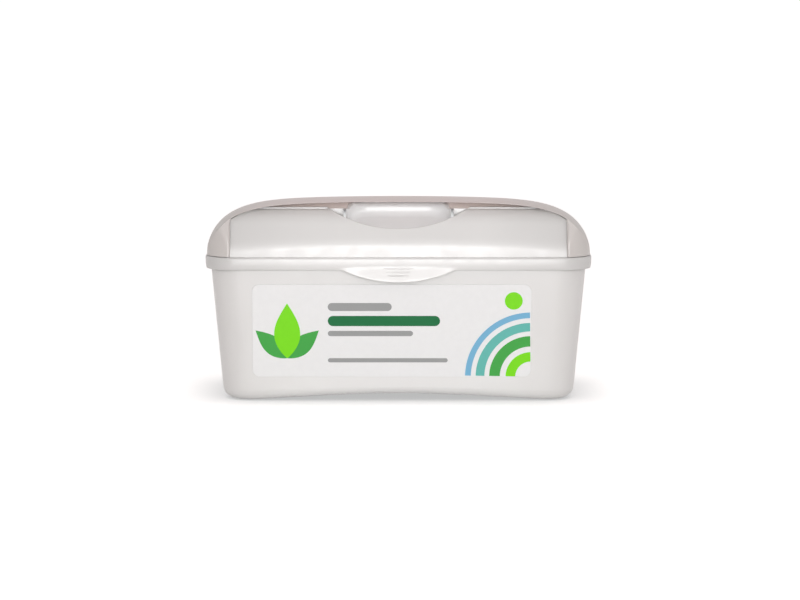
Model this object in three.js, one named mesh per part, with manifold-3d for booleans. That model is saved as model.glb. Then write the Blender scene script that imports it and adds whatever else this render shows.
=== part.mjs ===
// Wet wipes tub with a hinged lid and a flip cover, in millimetres, front facing -Y
import * as THREE from 'three';
import { mergeVertices } from 'three/addons/utils/BufferGeometryUtils.js';
import Module from 'manifold-3d';

const wasm = await Module();
wasm.setup();

// Driving dimensions
const lidWidth = 200;
const lidDepth = 100;
const lidLine = 69;
const skirtHeight = 6.5;
const domeRise = 30.5;
const wall = 1.4;
const gap = 0.3;
const cornerRadius = 14;

const stepLine = lidLine + skirtHeight;
const height = stepLine + domeRise;

// Tub
const rimBead = 0.7;
const rimRoom = 0.8;
const tubInset = wall + rimBead + rimRoom;
const draft = Math.tan(THREE.MathUtils.degToRad(5));
const footRadius = 6;
const footLength = 14;
const archRise = 3.1;
const archFade = 12;

// Lid and cover
const step = 0.8;
const plateTop = stepLine;
const plateBottom = plateTop - wall;
const coverFoot = stepLine + gap;
const footing = 5;
const archFullness = 7;
const crownDrop = 2.9;
const rollRise = 1.8;
const rollRun = 12;
const rimBand = 1.9;
const rimUndercut = 0.12;
const postWidth = 12.5;
const lipDrop = 5.3;
const lipLine = height - lipDrop;
const beadHeight = 0.9;
const browRise = 7;
const browDepth = 5;
const browTop = lipLine - beadHeight;
const browLine = browTop - browRise;
const bendLine = stepLine + 4.5;
const panelLean = 3.2;
const coverLean = 2.4;
const lidFace = -lidDepth / 2 + step;
const lap = 1.5;
const lapRoom = 0.8;
const panelFace = lidFace + wall + lapRoom;
const sillRun = 3;
const sillRise = 3.4;
const archRoom = 1;
const lidRear = lidDepth / 2 - step;
const ridgeY = lidFace + coverLean + rollRun;
const shoulderRun = 16;
const shoulderDrop = 8;
const rearWall = 7.6;
const roofFall = domeRise - gap - shoulderDrop - rearWall;

// Finger scoop, thumb tab and dispensing opening
const scoopHalf = 37;
const scoopDrop = 10.6;
const scoopLedge = 10;
const pocketHalf = scoopHalf - scoopLedge;
const pocketDepth = 14.5;
const pocketRadius = 13;
const pocketSink = 1.5;
const pocketRise = 7.4;
const pocketFloor = lipLine - scoopDrop - pocketSink;
const pocketRim = lipLine + 1.8;
const tabHalf = 29.5;
const tabDrop = 6.3;
const tabFlare = 0.15;
const slotLength = 92;
const slotDepth = 30;
const slotY = 8;
const collar = 2;
const collarHeight = 4;

// Hinges
const pinRadius = 1.3;
const barrelRadius = 3;
const earThickness = 2.4;
const barrelLength = 14;
const hingeInset = 20;
const hingeSpacing = 28;
const coverHingeX = lidWidth / 2 - cornerRadius - hingeInset;
const lidHingeX = coverHingeX - hingeSpacing;
const hingeY = lidDepth / 2 + barrelRadius + 2 * gap;
const lidHingeZ = lidLine - barrelRadius - 0.4;
const coverHingeZ = stepLine - barrelRadius / 2;

// Contents and label
const sheetEndRoom = 3.66;
const sheetSideRoom = 6.16;
const stackHeight = 46;
const labelLow = 12.8;
const labelRoom = 1.3;
const labelLeft = 2.7;
const labelRight = 9.7;
const labelRadius = 3.6;
const filmThickness = 0.25;

// Tub's outer half width and half depth at a height
const tubHalfWidth = (z) => lidWidth / 2 - tubInset - draft * (lidLine - Math.min(z, lidLine));
const tubHalfDepth = (z) => lidDepth / 2 - tubInset - draft * (lidLine - Math.min(z, lidLine));
const archHalf = tubHalfWidth(0) - footLength;

// The origin is moved to the middle of the overall depth
const frontReach = lidDepth / 2 + tabFlare * tabDrop;
const rearReach = hingeY + barrelRadius;
const centreShift = (frontReach - rearReach) / 2;

const plastic = { color: 0xece8e4, roughness: 0.42, metalness: 0 };
const towel = { color: 0xf3f2ee, roughness: 0.95, metalness: 0 };
const film = { color: 0xf2f2f0, roughness: 0.25, metalness: 0 };

// Closed solid from a geometry
function solid(geometry) {
  const bare = geometry.index ? geometry.toNonIndexed() : geometry.clone();
  bare.deleteAttribute('normal');
  bare.deleteAttribute('uv');
  const merged = mergeVertices(bare, 1e-4);
  const vertProperties = new Float32Array(merged.attributes.position.array);
  const triVerts = new Uint32Array(merged.index.array);
  return new wasm.Manifold(new wasm.Mesh({ numProp: 3, vertProperties, triVerts }));
}

// Named piece from a closed solid
function piece(name, body, finish) {
  const { vertProperties, triVerts } = body.getMesh();
  const geometry = new THREE.BufferGeometry();
  geometry.setAttribute('position', new THREE.Float32BufferAttribute(vertProperties, 3));
  geometry.setIndex(new THREE.Uint32BufferAttribute(triVerts, 1));
  geometry.computeVertexNormals();
  const mesh = new THREE.Mesh(geometry, new THREE.MeshStandardMaterial(finish));
  mesh.name = name;
  mesh.position.y = centreShift;
  return mesh;
}

// Outline extruded along one axis, with its two directions laid on the named axes
function prism(outline, length, right, up, along, start) {
  const shape = outline instanceof THREE.Shape ? outline : new THREE.Shape(outline);
  const settings = { depth: length, bevelEnabled: false, curveSegments: 8 };
  const geometry = new THREE.ExtrudeGeometry(shape, settings);
  geometry.applyMatrix4(new THREE.Matrix4().makeBasis(right, up, along));
  geometry.translate(along.x * start, along.y * start, along.z * start);
  return geometry;
}

const axisX = new THREE.Vector3(1, 0, 0);
const axisY = new THREE.Vector3(0, 1, 0);
const axisZ = new THREE.Vector3(0, 0, 1);
const towardFront = new THREE.Vector3(0, -1, 0);

// Outline in Y and Z, extruded from x0 to x1
function prismX(outline, x0, x1) {
  return solid(prism(outline, x1 - x0, axisY, axisZ, axisX, x0));
}

// Outline in X and Z, extruded from y0 to y1
function prismY(outline, y0, y1) {
  return solid(prism(outline, y1 - y0, axisX, axisZ, towardFront, -y1));
}

// Outline in X and Y, extruded from z0 to z1
function prismZ(outline, z0, z1) {
  return solid(prism(outline, z1 - z0, axisX, axisY, axisZ, z0));
}

const points = (pairs) => pairs.map(([u, v]) => new THREE.Vector2(u, v));

// Rounded rectangle as an outline
function roundedRectangle(width, depth, radius) {
  const x = width / 2 - radius;
  const y = depth / 2 - radius;
  const shape = new THREE.Shape();
  shape.absarc(x, y, radius, 0, Math.PI / 2);
  shape.absarc(-x, y, radius, Math.PI / 2, Math.PI);
  shape.absarc(-x, -y, radius, Math.PI, 1.5 * Math.PI);
  shape.absarc(x, -y, radius, 1.5 * Math.PI, 2 * Math.PI);
  return shape;
}

// Circular bow hanging from a chord, with a straight part of the given height above the chord
function bow(halfChord, drop, chordLine, lead) {
  const radius = (halfChord ** 2 + drop ** 2) / (2 * drop);
  const half = Math.asin(halfChord / radius);
  const shape = new THREE.Shape();
  shape.moveTo(halfChord, chordLine + lead);
  shape.lineTo(-halfChord, chordLine + lead);
  const steps = 16;
  for (let i = 0; i <= steps; i += 1) {
    const angle = half * (2 * i / steps - 1);
    shape.lineTo(radius * Math.sin(angle), chordLine - drop + radius * (1 - Math.cos(angle)));
  }
  return shape;
}

// One level of a loft: a rounded rectangle, symmetric front to back, with its long sides divided
function level(width, depth, radius, z, bend = 0) {
  const cornerSteps = 5;
  const sideSteps = 12;
  const half = [];
  const x = width / 2 - radius;
  const y = depth / 2 - radius;
  half.push([width / 2, 0]);
  for (let i = 0; i <= cornerSteps; i += 1) {
    const angle = (i / cornerSteps) * Math.PI / 2;
    half.push([x + radius * Math.cos(angle), y + radius * Math.sin(angle)]);
  }
  for (let i = 1; i < sideSteps; i += 1) half.push([x * (1 - 2 * i / sideSteps), depth / 2]);
  for (let i = cornerSteps; i >= 0; i -= 1) {
    const angle = (i / cornerSteps) * Math.PI / 2;
    half.push([-x - radius * Math.cos(angle), y + radius * Math.sin(angle)]);
  }
  half.push([-width / 2, 0]);
  const back = half.slice(1, -1).reverse().map(([u, v]) => [u, -v]);
  return [...half, ...back].map(([u, v]) => [u, v, z + bend * baseArch(u)]);
}

// Rise of the tub's base at a distance from the middle, flat over the two feet
function baseArch(x) {
  const u = Math.min(Math.abs(x) / archHalf, 1);
  return archRise * (1 - u * u) ** 1.5;
}

// Closed solid through a list of levels from low to high
function loft(levels) {
  const count = levels[0].length;
  const index = [];
  for (let k = 0; k + 1 < levels.length; k += 1) {
    for (let i = 0; i < count; i += 1) {
      const a = k * count + i;
      const b = k * count + (i + 1) % count;
      index.push(a, b, b + count, a, b + count, a + count);
    }
  }
  const top = (levels.length - 1) * count;
  for (let i = 0; i < count / 2; i += 1) {
    const across = (j) => (count - j) % count;
    const [a, b, c, d] = [i, i + 1, across(i + 1), across(i)];
    if (b !== c) {
      index.push(a, c, b);
      index.push(top + a, top + b, top + c);
    }
    if (a !== d) {
      index.push(a, d, c);
      index.push(top + a, top + c, top + d);
    }
  }
  const geometry = new THREE.BufferGeometry();
  geometry.setAttribute('position', new THREE.Float32BufferAttribute(levels.flat(2), 3));
  geometry.setIndex(index);
  return solid(geometry);
}

// Levels of the tub's outside, or of its hollow when inset by the wall
function tubLevels(inset, floor, top) {
  const radius = footRadius - inset;
  const corner = cornerRadius - inset;
  const levels = [];
  const at = (z, shrink, bead) => {
    const bend = Math.max(0, 1 - (z - floor) / archFade);
    const width = 2 * (tubHalfWidth(z) - inset - shrink + bead);
    const depth = 2 * (tubHalfDepth(z) - inset - shrink + bead);
    levels.push(level(width, depth, Math.max(corner - shrink, 4), z, bend));
  };
  for (const angle of [0, 0.25, 0.5, 0.75, 1]) {
    const turn = angle * Math.PI / 2;
    at(floor + radius * (1 - Math.cos(turn)), radius * (1 - Math.sin(turn)), 0);
  }
  at(floor + archFade, 0, 0);
  at(lidLine, 0, 0);
  if (inset === 0) {
    at(top - 2.4, 0, 0);
    at(top - 1.8, 0, rimBead);
    at(top - 0.5, 0, rimBead);
  }
  at(top, 0, 0);
  return levels;
}

// Two plates with a pin between them, standing on a wall outline at each hinge
function bracket(foot, x, z) {
  const low = [hingeY, z - barrelRadius + 0.3];
  const high = [hingeY, z + barrelRadius - 0.3];
  const outer = barrelLength / 2 + gap;
  const outline = points([...foot, low, high]);
  const disc = new THREE.CylinderGeometry(barrelRadius - 0.3, barrelRadius - 0.3, earThickness, 20);
  let body = null;
  for (const side of [-1, 1]) {
    const near = x + side * outer;
    const far = near + side * earThickness;
    const plate = prismX(outline, Math.min(near, far), Math.max(near, far));
    const round = disc.clone().rotateZ(Math.PI / 2).translate((near + far) / 2, hingeY, z);
    const ear = plate.add(solid(round));
    body = body ? body.add(ear) : ear;
  }
  const pin = new THREE.CylinderGeometry(pinRadius, pinRadius, 2 * outer + earThickness, 16);
  return body.add(solid(pin.rotateZ(Math.PI / 2).translate(x, hingeY, z)));
}

// Round knuckle on a web, before its bore is cut
function knuckle(web, x, z) {
  const barrel = new THREE.CylinderGeometry(barrelRadius, barrelRadius, barrelLength, 20);
  const reach = 0.9 * barrelRadius;
  const outline = points([...web, [hingeY - reach, z + 0.4], [hingeY + reach, z + 0.4]]);
  const body = solid(barrel.rotateZ(Math.PI / 2).translate(x, hingeY, z));
  return body.add(prismX(outline, x - barrelLength / 2, x + barrelLength / 2));
}

// Bore through a knuckle
function bore(x, z) {
  const hole = new THREE.CylinderGeometry(pinRadius + gap, pinRadius + gap, barrelLength + 1, 16);
  return solid(hole.rotateZ(Math.PI / 2).translate(x, hingeY, z));
}

function makeTub() {
  const top = plateBottom - gap;
  let body = loft(tubLevels(0, 0, top));
  const footLow = lidLine - 11;
  const footHigh = lidLine - 1.5;
  const inWall = (z) => [tubHalfDepth(z) - wall / 2, z];
  for (const side of [-1, 1]) {
    body = body.add(bracket([inWall(footHigh), inWall(footLow)], side * lidHingeX, lidHingeZ));
  }
  return body.subtract(loft(tubLevels(wall, wall, top + 1)));
}

// Height of the cover's arch over its foot at a distance from the middle
function archAt(x, half, rise) {
  const u = Math.min(Math.abs(x) / half, 1);
  return Math.sqrt(1 - u ** archFullness) * (rise - crownDrop * u * u);
}

// How far the lid's front has leant back at a height: upright at the foot, then straight
function leanAt(z) {
  const t = THREE.MathUtils.clamp((z - bendLine) / (browLine - bendLine), 0, 1.4);
  const bend = 0.45;
  return (t < bend ? t * t / (2 * bend) : t - bend / 2) / (1 - bend / 2);
}

const coverFrontY = (z) => lidFace + coverLean * leanAt(z);

// Front panel's profile: upright, leaning back, then rolling back over its brow
function panelY(z) {
  const t = THREE.MathUtils.clamp((z - browLine) / browRise, 0, 1);
  return panelFace + panelLean * leanAt(z) + browDepth * (1 - Math.sqrt(1 - t * t));
}

const lipY = panelY(browTop);

const leanHeights = [0, 0.15, 0.3, 0.5, 0.75, 1].map((t) => bendLine + (browLine - bendLine) * t);
const browHeights = [0.25, 0.5, 0.75, 1].map((t) => browLine + browRise * Math.sin(t * Math.PI / 2));

// Height of the roof's middle line, falling towards the back and turning down into the rear wall
function roofAt(y) {
  const t = Math.max(0, (y - ridgeY) / (lidRear - ridgeY));
  const turn = THREE.MathUtils.clamp(1 - (lidRear - y) / shoulderRun, 0, 1);
  return height - roofFall * (0.8 * t + 0.2 * t * t) - shoulderDrop * (1 - Math.sqrt(1 - turn * turn));
}

// Half width of the cover's plan at a depth, rounded at the rear corners
function planHalf(y) {
  const into = THREE.MathUtils.clamp(cornerRadius - (lidRear - y), 0, cornerRadius);
  return lidWidth / 2 - step - cornerRadius + Math.sqrt(cornerRadius ** 2 - into ** 2);
}

// One arched section of the cover, from the crown round the left foot and back up the right
function archSection(half, top, depthAt) {
  const steps = 16;
  const left = [];
  for (let i = 0; i <= steps; i += 1) {
    const x = half * Math.sin(0.5 * Math.PI * i / steps);
    left.push([-x, coverFoot + archAt(x, half, top - coverFoot)]);
  }
  left.push([-half, coverFoot - footing], [0, coverFoot - footing]);
  const right = left.slice(1, -1).reverse().map(([x, z]) => [-x, z]);
  return [...left, ...right].map(([x, z]) => [x, depthAt(z), z]);
}

// Plan of the cover with its rounded front corners, drawn in by an inset
function coverPlan(inset) {
  const half = lidWidth / 2 - step - inset;
  const radius = cornerRadius - inset;
  const plan = new THREE.Shape();
  plan.moveTo(half, lidDepth);
  plan.lineTo(-half, lidDepth);
  plan.absarc(-half + radius, lidFace + inset + radius, radius, Math.PI, 1.5 * Math.PI);
  plan.absarc(half - radius, lidFace + inset + radius, radius, 1.5 * Math.PI, 2 * Math.PI);
  return plan;
}

// Full body of the cover without its hollow, drawn in by an inset
function coverBody(inset) {
  const half = lidWidth / 2 - step - inset;
  const sections = [];
  const rows = 12;
  for (let i = 0; i < rows; i += 1) {
    const y = ridgeY + 4 + (lidRear - ridgeY - 4) * Math.cos(0.5 * Math.PI * i / rows);
    sections.push(archSection(planHalf(y) - inset, roofAt(y) - inset, () => y - inset));
  }
  for (const turn of [0, 0.35, 0.65, 0.88, 1]) {
    const angle = turn * Math.PI / 2;
    const drop = rollRise * (1 - Math.cos(angle));
    const behind = rollRun * (1 - Math.sin(angle)) + inset;
    sections.push(archSection(half - drop, height - drop - inset, (z) => coverFrontY(z) + behind));
  }
  return loft(sections).intersect(prismZ(coverPlan(inset), coverFoot - inset, height + 1));
}

// Window in the cover's front that the standing panel fills, drawn in by a clearance and widened by a lap
function windowOutline(clearance, lapped) {
  const half = lidWidth / 2 - step - postWidth + lapped;
  const archHalfWidth = lidWidth / 2 - step - rimBand - clearance;
  const rise = height - coverFoot - rimBand - clearance;
  const steps = 24;
  const outline = [[half, coverFoot - footing], [-half, coverFoot - footing]];
  for (let i = 0; i <= steps; i += 1) {
    const x = -half * Math.cos(Math.PI * i / steps);
    outline.push([x, coverFoot + archAt(x, archHalfWidth, rise)]);
  }
  return points(outline);
}

function makeCover() {
  let body = coverBody(0);
  const rear = lidRear - wall / 2;
  const clear = lidDepth / 2 + gap;
  const web = [[rear, coverFoot + rearWall], [rear, coverFoot + 0.2], [clear, coverFoot + 0.2]];
  for (const side of [-1, 1]) body = body.add(knuckle(web, side * coverHingeX, coverHingeZ));
  body = body.subtract(coverBody(wall));
  const opening = prismY(windowOutline(0, 0), -lidDepth / 2 - 2, ridgeY);
  body = body.subtract(opening.warp((vertex) => {
    vertex[2] -= rimUndercut * (vertex[1] - coverFrontY(vertex[2]));
  }));
  for (const side of [-1, 1]) body = body.subtract(bore(side * coverHingeX, coverHingeZ));
  return body;
}

// Plan of the finger pocket, drawn in by an inset
function pocketPlan(inset) {
  const front = -lidDepth / 2;
  const half = pocketHalf + wall - inset;
  const end = panelY(pocketFloor) + pocketDepth + wall - inset;
  const radius = pocketRadius - inset;
  const shape = new THREE.Shape();
  shape.moveTo(-half, front);
  shape.lineTo(half, front);
  shape.absarc(half - radius, end - radius, radius, 0, Math.PI / 2);
  shape.absarc(-half + radius, end - radius, radius, Math.PI / 2, Math.PI);
  return prismZ(shape, 0, height);
}

const pocketFloorAt = (y) => pocketFloor + pocketRise * (y - panelY(pocketFloor)) / pocketDepth;

// Room of the finger pocket over its sloping floor
function pocketRoom() {
  const near = -lidDepth / 2 - 2;
  const far = panelY(pocketFloor) + 2 * pocketDepth;
  const floor = [[near, pocketFloorAt(near)], [far, pocketFloorAt(far)]];
  const outline = points([...floor, [far, height], [near, height]]);
  return prismX(outline, -lidWidth, lidWidth).intersect(pocketPlan(wall));
}

// Finger pocket behind the scoop: sloping floor and a rounded back wall that is lower at its front
function makePocket() {
  const low = pocketFloor - wall;
  const far = panelY(pocketFloor) + pocketDepth + 2 * wall;
  const skin = (z) => [panelY(z) + wall / 2, z];
  const rising = [low, ...leanHeights.filter((z) => z > low), ...browHeights];
  const rim = [lipY + wall + (pocketRim - browTop) * sillRun / sillRise, pocketRim];
  const back = [rim, [far, pocketRim], [far, pocketFloorAt(far) - wall]];
  const outline = points([[lipY + wall, browTop], ...back, ...rising.map(skin)]);
  const outside = prismX(outline, -lidWidth, lidWidth).intersect(pocketPlan(0));
  return outside.subtract(pocketRoom());
}

// Standing front panel inside the cover's posts, with a bead along its lip and the scoop cut in its top edge
function makePanel() {
  const low = plateTop - wall / 2;
  const face = [low, ...leanHeights, ...browHeights].map((z) => [panelY(z), z]);
  const bead = [[lipY, lipLine], [lipY + wall, lipLine], [lipY + wall, browTop - wall]];
  const inside = [low, ...leanHeights, browHeights[0]].map((z) => [panelY(z) + wall, z]).reverse();
  const strip = prismX(points([...face, ...bead, ...inside].reverse()), -lidWidth / 2, lidWidth / 2);
  const behind = prismZ(coverPlan(wall + gap), plateBottom, height);
  const panel = strip.intersect(prismY(windowOutline(archRoom, lap), -lidDepth / 2, 0)).intersect(behind);
  return panel.subtract(prismY(bow(scoopHalf, scoopDrop, lipLine, 2), -lidDepth / 2 - 1, 0));
}

// Sill that slopes up from the panel's lip to just below the cover, open at the finger pocket
function makeSill() {
  const near = lipY + wall / 2;
  const far = lipY + wall + sillRun;
  const high = browTop + sillRise;
  const under = [[near, browTop - wall], [far, high - wall]];
  const top = [[far, high], [lipY + wall, browTop], [near, browTop]];
  const sill = prismX(points([...under, ...top]), -lidWidth / 2, lidWidth / 2);
  const trimmed = sill.intersect(prismY(windowOutline(archRoom, lap), -lidDepth / 2, 0));
  return trimmed.subtract(pocketRoom());
}

// Upright ledge behind the two ends of the scoop
function makeLedge() {
  const half = scoopHalf + wall;
  const low = pocketFloor - wall;
  const outline = points([[-half, low], [half, low], [half, browTop], [-half, browTop]]);
  return prismY(outline, lipY + wall / 4, lipY + wall).subtract(pocketRoom());
}

// Thumb tab below the skirt's front, leaning out a little, with grip ribs
function makeTab() {
  const front = -lidDepth / 2;
  let tab = prismY(bow(tabHalf, tabDrop, lidLine, 1), front, front + wall);
  for (const row of [0, 1, 2]) {
    const half = 9 - 1.5 * row;
    const z = lidLine + 0.4 - 1.8 * row;
    const rib = points([[half, z], [half - 0.4, z + 0.8], [-half + 0.4, z + 0.8], [-half, z]]);
    tab = tab.add(prismY(rib, front - 0.4, front + wall / 2));
  }
  return tab.warp((vertex) => {
    vertex[1] -= tabFlare * Math.max(0, lidLine - vertex[2]);
  });
}

function makeLid() {
  const outside = prismZ(roundedRectangle(lidWidth, lidDepth, cornerRadius + 1), lidLine, plateTop);
  const room = roundedRectangle(lidWidth - 2 * wall, lidDepth - 2 * wall, cornerRadius + 1 - wall);
  let body = outside.subtract(prismZ(room, lidLine - 1, plateBottom));
  body = body.add(makeTab()).add(makePanel()).add(makeSill()).add(makeLedge()).add(makePocket());
  const stadium = (grow) => {
    const radius = slotDepth / 2 + grow;
    return roundedRectangle(slotLength + 2 * grow, 2 * radius, radius);
  };
  const ring = prismZ(stadium(collar), plateTop - wall / 2, plateTop + collarHeight);
  const slot = prismZ(stadium(0), lidLine, plateTop + collarHeight + 1);
  body = body.add(ring.translate([0, slotY, 0])).subtract(slot.translate([0, slotY, 0]));
  const rear = lidDepth / 2 - wall / 2;
  const web = [[rear, stepLine - 0.2], [rear, lidLine + 0.2]];
  const foot = [[rear, stepLine - 0.3], [rear, lidLine + 0.6]];
  for (const side of [-1, 1]) {
    body = body.add(knuckle(web, side * lidHingeX, lidHingeZ)).subtract(bore(side * lidHingeX, lidHingeZ));
    body = body.add(bracket(foot, side * coverHingeX, coverHingeZ));
  }
  return body;
}

// Folded wipes lying on the arched floor
function makeStack() {
  const low = wall + gap;
  const soft = 1.5;
  const at = (z, shrink, bend) => {
    const length = 2 * (tubHalfWidth(0) - wall - sheetEndRoom) - shrink;
    const fold = 2 * (tubHalfDepth(0) - wall - sheetSideRoom) - shrink;
    return level(length, fold, 2 + shrink / 2, z, bend);
  };
  return loft([
    at(low, 4, 1),
    at(low + soft, 0, 1),
    at(low + stackHeight - soft, 0, 0.6),
    at(low + stackHeight, 2 * soft, 0.5),
  ]);
}

// Label lying on the leaning front wall, between the rounded corners and below the thumb tab
function makeLabel() {
  const flat = tubHalfWidth(labelLow) - cornerRadius;
  const labelHeight = lidLine - tabDrop - labelRoom - labelLow;
  const outline = roundedRectangle(2 * flat - labelLeft - labelRight, labelHeight, labelRadius);
  const settings = { depth: filmThickness, bevelEnabled: false, curveSegments: 6 };
  const geometry = new THREE.ExtrudeGeometry(outline, settings);
  geometry.rotateX(Math.PI / 2 + Math.atan(draft));
  const middle = labelLow + labelHeight / 2;
  geometry.translate((labelLeft - labelRight) / 2, -tubHalfDepth(middle) - gap, middle);
  return solid(geometry);
}

const pack = new THREE.Group();
pack.name = 'wet_wipes_tub';
pack.add(piece('tub', makeTub(), plastic));
pack.add(piece('lid', makeLid(), plastic));
pack.add(piece('cover', makeCover(), plastic));
pack.add(piece('wipes_stack', makeStack(), towel));
pack.add(piece('front_label', makeLabel(), film));

export default pack;
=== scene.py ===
# Wet wipes tub with a hinged lid and a flip cover: finished surfaces
import math

import bmesh
import bpy
import numpy as np
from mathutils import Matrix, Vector


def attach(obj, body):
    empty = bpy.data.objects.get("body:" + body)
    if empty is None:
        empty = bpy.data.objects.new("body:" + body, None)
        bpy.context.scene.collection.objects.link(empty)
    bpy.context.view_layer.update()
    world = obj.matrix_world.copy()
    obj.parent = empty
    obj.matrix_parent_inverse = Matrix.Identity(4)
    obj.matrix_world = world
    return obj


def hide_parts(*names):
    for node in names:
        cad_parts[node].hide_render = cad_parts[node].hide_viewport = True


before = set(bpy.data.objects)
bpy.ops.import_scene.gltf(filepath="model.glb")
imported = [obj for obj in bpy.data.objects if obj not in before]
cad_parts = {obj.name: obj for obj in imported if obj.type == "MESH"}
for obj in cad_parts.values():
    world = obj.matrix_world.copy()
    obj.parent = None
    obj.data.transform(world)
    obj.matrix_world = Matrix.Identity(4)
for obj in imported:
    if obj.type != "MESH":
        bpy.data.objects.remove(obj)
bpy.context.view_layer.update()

# Driving sizes in millimetres, with the front facing -Y
LID_WIDTH = 200.0
LID_DEPTH = 100.0
LID_LINE = 69.0
SKIRT_HEIGHT = 6.5
DOME_RISE = 30.5
WALL = 1.4
GAP = 0.3
SOFT_EDGE = 0.3
CORNER_RADIUS = 14.0
STEP_LINE = LID_LINE + SKIRT_HEIGHT
HEIGHT = STEP_LINE + DOME_RISE
MILLIMETRE = 0.001

# Tub
RIM_BEAD = 0.7
RIM_ROOM = 0.8
TUB_INSET = WALL + RIM_BEAD + RIM_ROOM
TUB_TOP = STEP_LINE - WALL - GAP
DRAFT = math.tan(math.radians(5))
LEAST_RADIUS = 3.0
FOOT_RADIUS = 6.0
FOOT_LENGTH = 14.0
ARCH_RISE = 3.1
ARCH_FADE = 12.0

# Cover
STEP = 0.8
COVER_FOOT = STEP_LINE + GAP
COVER_HALF = LID_WIDTH / 2 - STEP
LID_FACE = -LID_DEPTH / 2 + STEP
LID_REAR = LID_DEPTH / 2 - STEP
ARCH_FULLNESS = 7
CROWN_DROP = 2.9
ROLL_RISE = 1.8
ROLL_RUN = 12.0
RIM_BAND = 1.9
RIM_UNDERCUT = 0.12
RIM_EDGE = 0.05
POST_WIDTH = 12.5
POST_EDGE = 1.25
POST_BLEND = 4.0
WINDOW_HALF = COVER_HALF - POST_WIDTH
COVER_LEAN = 2.4
COVER_UPRIGHT = 4.5
COVER_BEND = STEP_LINE + COVER_UPRIGHT
RIDGE_Y = LID_FACE + COVER_LEAN + ROLL_RUN
RIDGE_RUN = 6.0
SHOULDER_RUN = 16.0
SHOULDER_DROP = 8.0
REAR_WALL = 7.6
ROOF_FALL = DOME_RISE - GAP - SHOULDER_DROP - REAR_WALL
ROOF_EVENNESS = 0.8

# Lid's front panel and sill
LIP_DROP = 5.3
LIP_BEAD = 0.9
LIP_SOFT = 0.45
LIP_LINE = HEIGHT - LIP_DROP
BROW_TOP = LIP_LINE - LIP_BEAD
BROW_RISE = 7.0
BROW_DEPTH = 5.0
BROW_LINE = BROW_TOP - BROW_RISE
PANEL_LEAN = 3.2
PANEL_UPRIGHT = 4.8
PANEL_ARCH_HALF = 92.0
LEAN_BEND = 0.45
LEAN_LIMIT = 1.4
LAP = 1.5
LAP_ROOM = 0.3
PANEL_FACE = LID_FACE + WALL + LAP_ROOM
ARCH_ROOM = 0.45
SILL_RUN = 3.0
SILL_RISE = 3.4
SILL_LEAST = 0.3

# Finger scoop, skirt with its thumb tab, and dispensing opening
SCOOP_HALF = 37.0
SCOOP_DROP = 10.6
SCOOP_LEDGE = 10.0
LEDGE_DROP = 0.6
LEDGE_LAP = 0.3
POCKET_HALF = SCOOP_HALF - SCOOP_LEDGE
POCKET_DEPTH = 14.5
POCKET_RADIUS = 13.0
POCKET_FILLET = 2.2
POCKET_SINK = 1.5
POCKET_RISE = 7.4
POCKET_FLOOR = LIP_LINE - SCOOP_DROP - POCKET_SINK
POCKET_LIFT = 1.8
POCKET_RIM = LIP_LINE + POCKET_LIFT
RIM_ROLL = 2.6
SKIRT_RADIUS = CORNER_RADIUS + 1
TAB_HALF = 29.5
TAB_DROP = 6.3
TAB_FLARE = 0.15
TAB_INSET = 0.36
RIB_COUNT = 3
RIB_HALF = 9.0
RIB_TAPER = 1.5
RIB_RISE = 0.8
RIB_LINE = LID_LINE + RIB_RISE
RIB_PITCH = 1.8
RIB_DEPTH = 0.38
RIB_HEIGHT = 0.5
SLOT_LENGTH = 92.0
SLOT_DEPTH = 30.0
SLOT_Y = 8.0
COLLAR = 2.0
COLLAR_HEIGHT = 4.0

# Hinges
PIN_RADIUS = 1.3
PIN_SEAT = 0.5
BARREL_RADIUS = 3.0
BARREL_LENGTH = 14.0
EAR_RADIUS = BARREL_RADIUS - SOFT_EDGE
EAR_THICKNESS = 2.4
BRACKET_DROP = 1.5
BRACKET_HEIGHT = 9.5
HINGE_INSET = 20.0
HINGE_SPACING = 28.0
HINGE_DROP = 0.4
COVER_HINGE_X = LID_WIDTH / 2 - CORNER_RADIUS - HINGE_INSET
LID_HINGE_X = COVER_HINGE_X - HINGE_SPACING
HINGE_Y = LID_DEPTH / 2 + BARREL_RADIUS + 2 * GAP
LID_HINGE_Z = LID_LINE - BARREL_RADIUS - HINGE_DROP
COVER_HINGE_Z = STEP_LINE - BARREL_RADIUS / 2

# Stack of wipes
SHEET_COUNT = 42
STACK_HEIGHT = 46.0
STACK_END_ROOM = 3.66
STACK_SIDE_ROOM = 6.16
SHEET_RADIUS = 2.5
SHEET_PULL = 0.5
BOTTOM_SOFTNESS = 2.2
TOP_SOFTNESS = 1.2
TOP_LEVELLING = 0.5
TOP_SWELL = 0.35

# Label and its print
LABEL_LOW = 12.8
LABEL_ROOM = 1.3
LABEL_HIGH = LID_LINE - TAB_DROP - LABEL_ROOM
LABEL_LEFT = 2.7
LABEL_RIGHT = 9.7
LABEL_RADIUS = 3.6
FILM_THICKNESS = 0.25
FILM_SEAT = 0.02
INK_LAYER = 0.03
LEAF_FOOT = (-54.0, -14.5)
BAR_LEFT = -33.0
RIPPLE_START = 91
RIPPLE_END = 179
DOT_RADIUS = 4.6
DOT_INSET = 9.0
DOT_DROP = 8.5

# The middle of the overall depth lies on the origin
CENTRE_SHIFT = (LID_DEPTH / 2 + TAB_FLARE * TAB_DROP - HINGE_Y - BARREL_RADIUS) / 2

# Fineness of the meshes
SIDE_STEPS = 8
CORNER_STEPS = 10
FRONT_STEPS = 64
ARCH_STEPS = 96
ROUND_STEPS = 32
PANEL_STEPS = 200
SILL_STEPS = 400
TOP_STEPS = 24
MERGE = 1e-6
SHARP_ANGLE = math.radians(38)

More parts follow.
